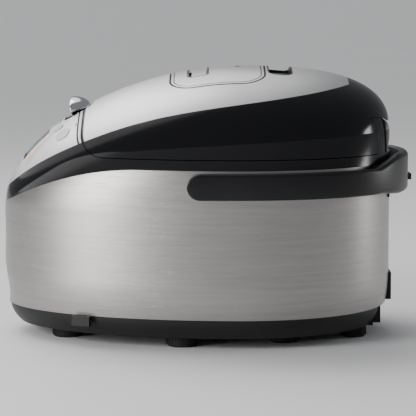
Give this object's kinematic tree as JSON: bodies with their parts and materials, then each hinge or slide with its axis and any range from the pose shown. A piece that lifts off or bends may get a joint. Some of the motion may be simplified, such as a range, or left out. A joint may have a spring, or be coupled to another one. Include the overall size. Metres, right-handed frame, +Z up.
{
  "type": "rice cooker",
  "caption": "Free-standing induction rice cooker with a hinged domed lid, lift-off steam cap, front control panel, steel wall and a swinging carry handle.",
  "frame": {"origin": "on the floor, in the middle of the overall length and width", "axes": "+Z up, -Y towards the control panel, +X to the right when looking from the front"},
  "size_m": [0.307, 0.3911, 0.2543],
  "materials": {
    "steel_wrap": "horizontally brushed",
    "lid_silver": "satin metallic",
    "panel_silver": "satin metallic",
    "black_gloss": "gloss",
    "black_satin": "satin",
    "black_matte": "fine texture",
    "grey_plastic": "satin",
    "foot_rubber": "matte",
    "seal_rubber": "matte",
    "lever_chrome": "polished",
    "screw_steel": "plain",
    "contact_brass": "plain",
    "coil_copper": "enamelled wire",
    "ferrite": "sintered",
    "sink_aluminium": "satin",
    "pot_coating": "non-stick",
    "board_green": "laminate",
    "display_glass": "clear",
    "display_grey": "liquid crystal",
    "key_plastic": "satin"
  },
  "bodies": {
    "root": {"outer_shell": "steel_wrap", "base_case": "black_matte", "base_screws": "screw_steel", "front_feet": "foot_rubber", "middle_feet": "foot_rubber", "side_feet": "foot_rubber", "rear_feet": "foot_rubber", "rear_vent_grille": "black_matte", "paddle_holder_socket": "black_matte", "power_inlet": "black_matte", "inlet_pins": "contact_brass", "upper_frame": "black_gloss", "control_panel": "panel_silver", "lcd_window": "display_glass", "lid_front_trim": "panel_silver", "control_board": "board_green", "lcd_module": "display_grey", "power_board": "board_green", "heat_sink": "sink_aluminium", "fan_frame": "black_matte", "inner_housing": "grey_plastic", "inner_pot": "pot_coating", "bottom_heating_coil": "coil_copper", "side_heating_coil": "coil_copper", "ferrite_bars": "ferrite", "coil_carrier": "black_matte", "sensor_housing": "black_matte", "sensor_spring": "screw_steel", "hinge_pin": "screw_steel", "hinge_springs": "screw_steel", "handle_pivots": "black_matte", "handle_bumpers": "foot_rubber"},
    "lid": {"lid_plate": "lid_silver", "hinge_cover": "black_gloss", "lid_skirt": "black_gloss", "lid_lower_cover": "grey_plastic", "lid_hinge_frame": "black_matte", "steam_cup": "black_matte", "finger_recess": "black_satin", "inner_lid": "sink_aluminium", "inner_lid_hub": "grey_plastic", "lid_gasket": "seal_rubber", "steam_valve": "black_matte", "lid_catch": "black_matte", "lid_screws": "screw_steel"},
    "steam_cap": {"steam_cap": "lid_silver"},
    "steam_cap_latch": {"steam_cap_latch": "lid_silver"},
    "release_lever": {"release_lever": "lever_chrome"},
    "latch_hook": {"latch_hook": "black_matte"},
    "carry_handle": {"carry_handle": "black_satin", "handle_hook": "black_satin"},
    "pot_sensor": {"pot_sensor": "sink_aluminium"},
    "fan_rotor": {"fan_rotor": "black_matte"},
    "start_key": {"start_key": "key_plastic"},
    "keep_warm_key": {"keep_warm_key": "key_plastic"},
    "menu_key": {"menu_key": "key_plastic"},
    "timer_key": {"timer_key": "key_plastic"},
    "hour_key": {"hour_key": "key_plastic"},
    "minute_key": {"minute_key": "key_plastic"}
  },
  "joints": [
    {"name": "lid_hinge", "type": "hinge", "parent": "root", "child": "lid", "pos_m": [0, 0.1565, 0.1905], "axis": [-1, 0, 0], "range_deg": [0, 80]},
    {"name": "handle_swing", "type": "hinge", "parent": "root", "child": "carry_handle", "pos_m": [0, -0.007, 0.1515], "axis": [1, 0, 0], "range_deg": [0, 90]},
    {"name": "release_lever_pivot", "type": "hinge", "parent": "root", "child": "release_lever", "pos_m": [0, -0.1192, 0.201], "axis": [1, 0, 0], "range_deg": [0, 10], "stiffness_Nm_per_rad": 0.6},
    {"name": "latch_hook_pivot", "type": "hinge", "parent": "root", "child": "latch_hook", "pos_m": [0, -0.1192, 0.201], "axis": [1, 0, 0], "range_deg": [-5, 0]},
    {"name": "steam_cap_lift", "type": "slide", "parent": "lid", "child": "steam_cap", "axis": [0, 0, 1], "range_m": [0, 0.03]},
    {"name": "steam_cap_latch_slide", "type": "slide", "parent": "steam_cap", "child": "steam_cap_latch", "axis": [0, -1, 0], "range_m": [0, 0.002], "stiffness_N_per_m": 300},
    {"name": "pot_sensor_travel", "type": "slide", "parent": "root", "child": "pot_sensor", "axis": [0, 0, -1], "range_m": [0, 0.003], "stiffness_N_per_m": 400, "deforming": ["sensor_spring"]},
    {"name": "fan_spin", "type": "hinge", "parent": "root", "child": "fan_rotor", "pos_m": [0.041, -0.121, 0.02], "axis": [0, 0, 1], "continuous": true},
    {"name": "start_key_press", "type": "slide", "parent": "root", "child": "start_key", "axis": [0, 0.6691, -0.7431], "range_m": [0, 0.0008], "stiffness_N_per_m": 500},
    {"name": "keep_warm_key_press", "type": "slide", "parent": "root", "child": "keep_warm_key", "axis": [0, 0.6691, -0.7431], "range_m": [0, 0.0008], "stiffness_N_per_m": 500},
    {"name": "menu_key_press", "type": "slide", "parent": "root", "child": "menu_key", "axis": [0, 0.6691, -0.7431], "range_m": [0, 0.0008], "stiffness_N_per_m": 500},
    {"name": "timer_key_press", "type": "slide", "parent": "root", "child": "timer_key", "axis": [0, 0.6691, -0.7431], "range_m": [0, 0.0008], "stiffness_N_per_m": 500},
    {"name": "hour_key_press", "type": "slide", "parent": "root", "child": "hour_key", "axis": [0, 0.6691, -0.7431], "range_m": [0, 0.0008], "stiffness_N_per_m": 500},
    {"name": "minute_key_press", "type": "slide", "parent": "root", "child": "minute_key", "axis": [0, 0.6691, -0.7431], "range_m": [0, 0.0008], "stiffness_N_per_m": 500}
  ],
  "couplings": [
    {"joint": "latch_hook_pivot", "follows": "release_lever_pivot", "ratio": -0.5}
  ]
}
